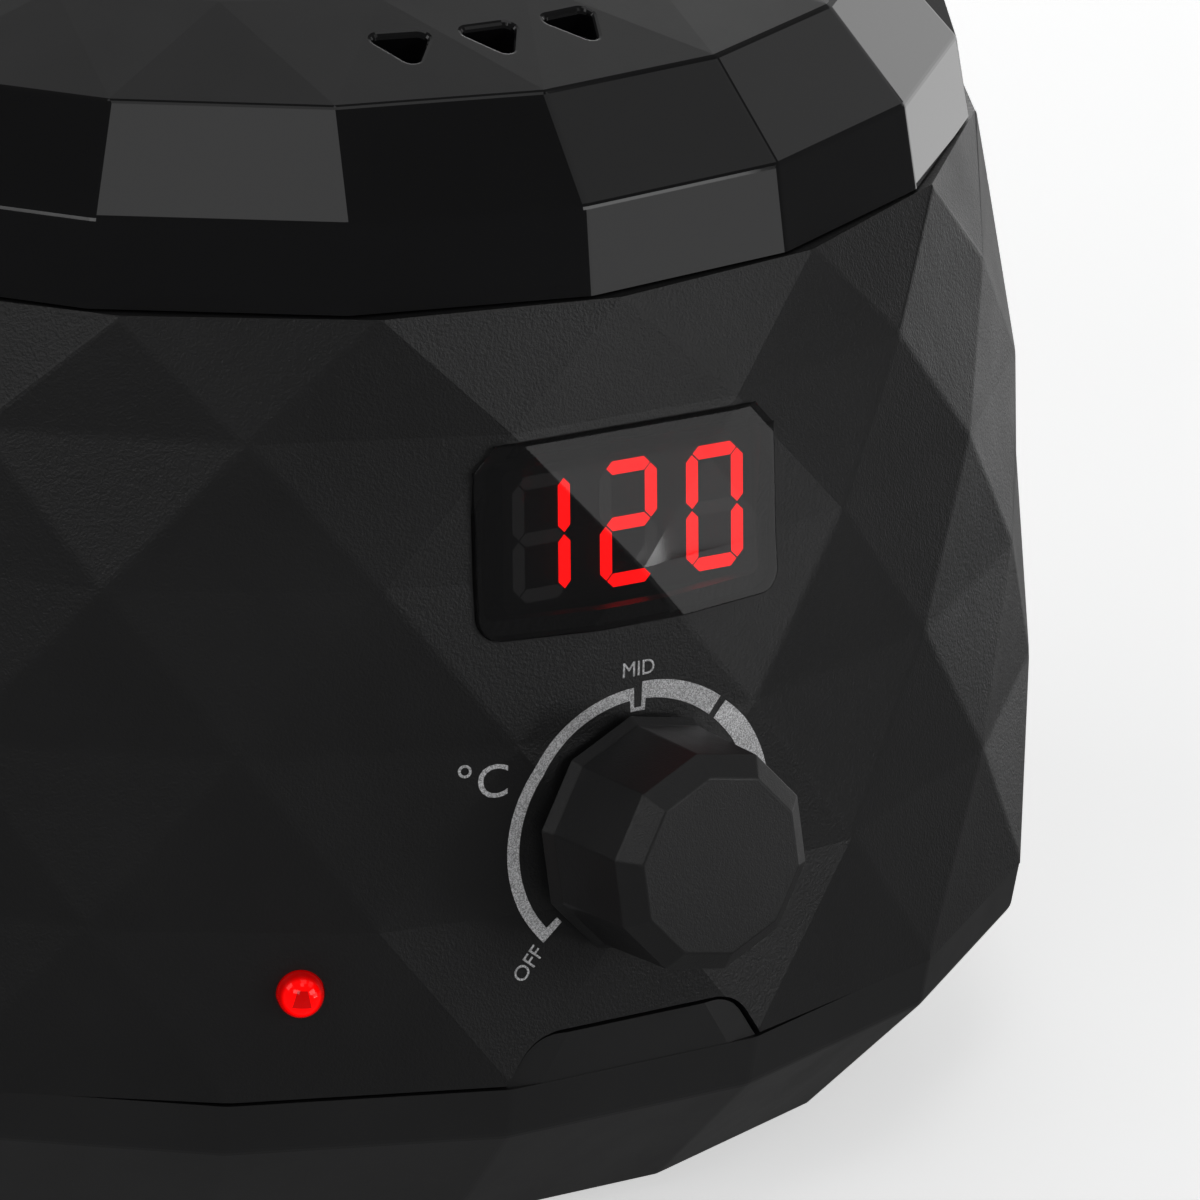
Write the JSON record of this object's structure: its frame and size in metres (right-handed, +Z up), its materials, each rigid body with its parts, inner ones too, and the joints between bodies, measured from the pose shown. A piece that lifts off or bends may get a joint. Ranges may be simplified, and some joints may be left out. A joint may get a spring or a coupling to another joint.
{
  "type": "wax warmer",
  "caption": "Table-top wax warmer with a faceted black housing, a lift-off lid, a removable pot in a heated well, a red digital display and a temperature knob.",
  "frame": {"origin": "on the table, under the centre of the well", "axes": "+Z up through the lid knob, -Y towards the display and the control knob, +X to the right of someone facing the display"},
  "size_m": [0.1976, 0.2275, 0.1566],
  "materials": {
    "base_black": "satin, fine grain",
    "rubber_black": "matt",
    "screw_steel": "bright zinc plated",
    "housing_black": "matt, spark-eroded grain",
    "deck_black": "satin",
    "well_aluminium": "drawn, satin",
    "heater_steel": "dull",
    "insulation_fibre": "woven glass fibre",
    "probe_steel": "bright",
    "pot_aluminium": "spun, satin",
    "ear_steel": "satin",
    "handle_steel": "polished wire",
    "lid_gloss_black": "high gloss",
    "lens_black": "high gloss, smoked",
    "module_grey": "matt",
    "board_green": "solder resist",
    "chip_black": "matt",
    "sensor_steel": "bright",
    "shaft_aluminium": "turned",
    "knob_black": "matt, grained",
    "gland_black": "satin",
    "relay_blue": "satin",
    "coil_amber": "tape wrapped",
    "capacitor_grey": "sleeved",
    "terminal_grey": "satin",
    "led_red": "tinted, lit"
  },
  "bodies": {
    "housing": {"base_shell": "base_black", "rubber_feet": "rubber_black", "base_screws": "screw_steel", "body_shell": "housing_black", "deck_ring": "deck_black", "deck_screws": "screw_steel", "heating_well": "well_aluminium", "well_screws": "screw_steel", "heater_band": "heater_steel", "insulation_sleeve": "insulation_fibre", "temperature_probe": "probe_steel", "probe_clip": "probe_steel", "thermal_fuse": "probe_steel", "fuse_clip": "probe_steel", "display_lens": "lens_black", "display_module": "module_grey", "control_board": "board_green", "board_screws": "screw_steel", "controller_chip": "chip_black", "rotary_sensor": "sensor_steel", "sensor_washer": "sensor_steel", "sensor_nut": "sensor_steel", "indicator_led": "led_red", "cord_gland": "gland_black", "gland_locknut": "gland_black", "supply_board": "board_green", "supply_screws": "screw_steel", "relay": "relay_blue", "supply_coil": "coil_amber", "capacitors": "capacitor_grey", "terminal_block": "terminal_grey"},
    "lid": {"lid_shell": "lid_gloss_black", "lid_knob": "lid_gloss_black", "lid_knob_screw": "screw_steel"},
    "pot": {"wax_pot": "pot_aluminium", "handle_ears": "ear_steel"},
    "bail": {"pot_handle": "handle_steel"},
    "knob": {"control_knob": "knob_black", "knob_shaft": "shaft_aluminium"}
  },
  "joints": [
    {"name": "lid_lift", "type": "slide", "parent": "housing", "child": "lid", "axis": [0, 0, 1], "range_m": [0, 0.2]},
    {"name": "pot_lift", "type": "slide", "parent": "housing", "child": "pot", "axis": [0, 0, 1], "range_m": [0, 0.08]},
    {"name": "bail_swing", "type": "hinge", "parent": "pot", "child": "bail", "pos_m": [0, 0, 0.1127], "axis": [1, 0, 0], "range_deg": [0, 90]},
    {"name": "knob_turn", "type": "hinge", "parent": "housing", "child": "knob", "pos_m": [0, -0.09748, 0.0514], "axis": [0, -0.9938, 0.1115], "range_deg": [-86, 176]}
  ],
  "couplings": [
    {"joint": "pot_lift", "follows": "lid_lift", "ratio": 0.4},
    {"joint": "bail_swing", "follows": "lid_lift", "rad_per_m": 7.85}
  ]
}
